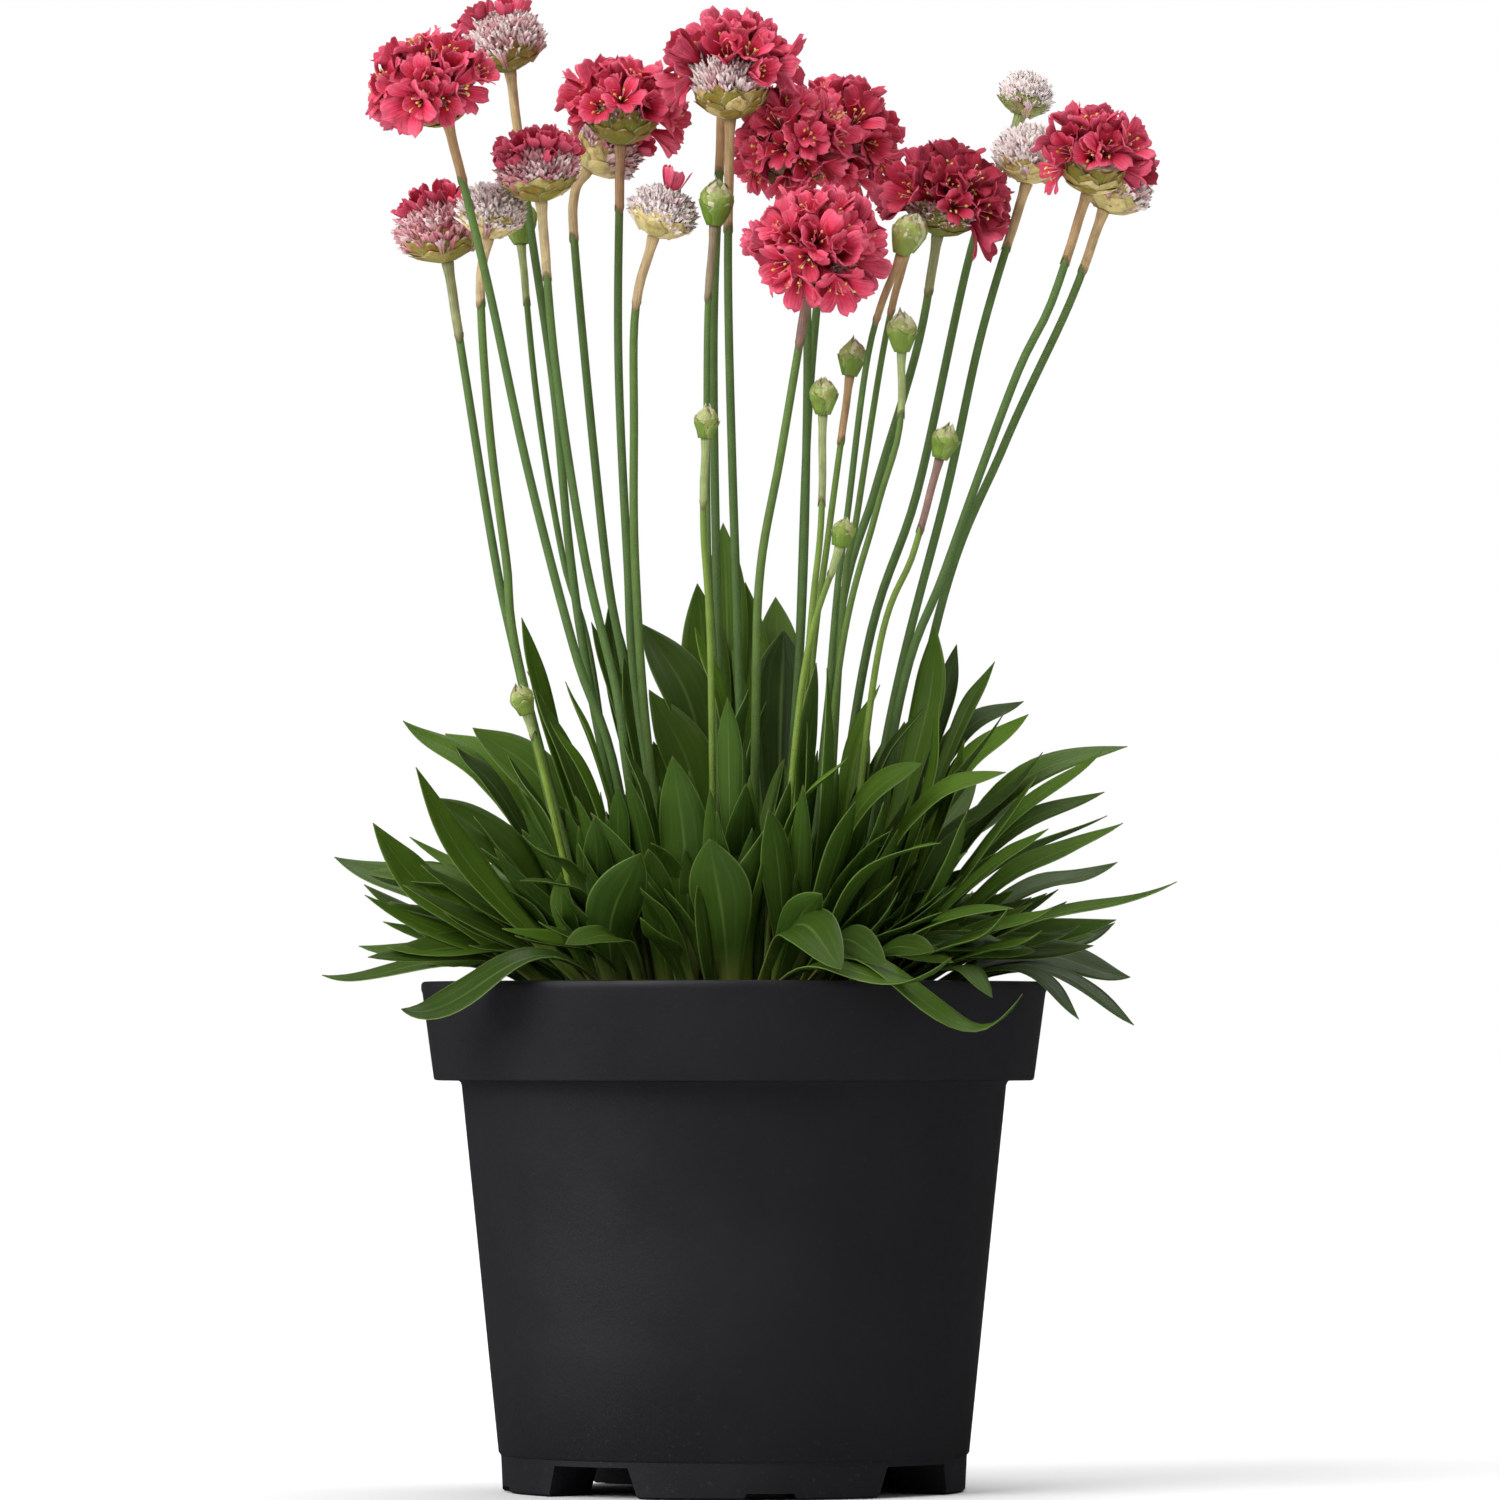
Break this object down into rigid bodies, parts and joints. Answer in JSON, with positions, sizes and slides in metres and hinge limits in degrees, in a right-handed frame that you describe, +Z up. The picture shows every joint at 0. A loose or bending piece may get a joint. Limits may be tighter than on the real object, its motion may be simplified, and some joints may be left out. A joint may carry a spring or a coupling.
{
  "type": "potted thrift plant",
  "caption": "Potted flowering thrift: a round tuft of strap leaves with round pink flower heads, papery seed heads and green buds on slim upright stalks, in a tapered black nursery pot.",
  "frame": {"origin": "on the floor under the feet of the pot, on the pot's axis", "axes": "+Z up, -Y is the front seen in the picture, +X is to the right in that view"},
  "size_m": [0.2323, 0.1955, 0.4095],
  "materials": {
    "pot": "satin",
    "soil": "matte",
    "leaf": "satin",
    "stalk": "matte",
    "petal": "matte",
    "calyx": "matte"
  },
  "bodies": {
    "root": {"pot": "pot", "soil": "soil", "leaf_tuft": "leaf", "scape_01": "stalk", "florets_01": "petal", "scape_02": "stalk", "calyces_02": "calyx", "florets_02": "petal", "scape_03": "stalk", "calyces_03": "calyx", "florets_03": "petal", "scape_04": "stalk", "calyces_04": "calyx", "scape_05": "stalk", "scape_06": "stalk", "calyces_06": "calyx", "florets_06": "petal", "scape_07": "stalk", "calyces_07": "calyx", "scape_08": "stalk", "florets_08": "petal", "scape_09": "stalk", "calyces_09": "calyx", "florets_09": "petal", "scape_10": "stalk", "scape_11": "stalk", "florets_11": "petal", "scape_12": "stalk", "calyces_12": "calyx", "scape_13": "stalk", "florets_13": "petal", "scape_14": "stalk", "florets_14": "petal", "scape_15": "stalk", "florets_15": "petal", "scape_16": "stalk", "florets_16": "petal", "scape_17": "stalk", "calyces_17": "calyx", "scape_18": "stalk", "calyces_18": "calyx", "scape_19": "stalk", "florets_19": "petal", "scape_20": "stalk", "calyces_20": "calyx", "scape_21": "stalk", "scape_22": "stalk", "scape_23": "stalk", "scape_24": "stalk", "scape_25": "stalk", "scape_26": "stalk", "scape_27": "stalk", "scape_28": "stalk", "scape_29": "stalk"}
  },
  "joints": []
}
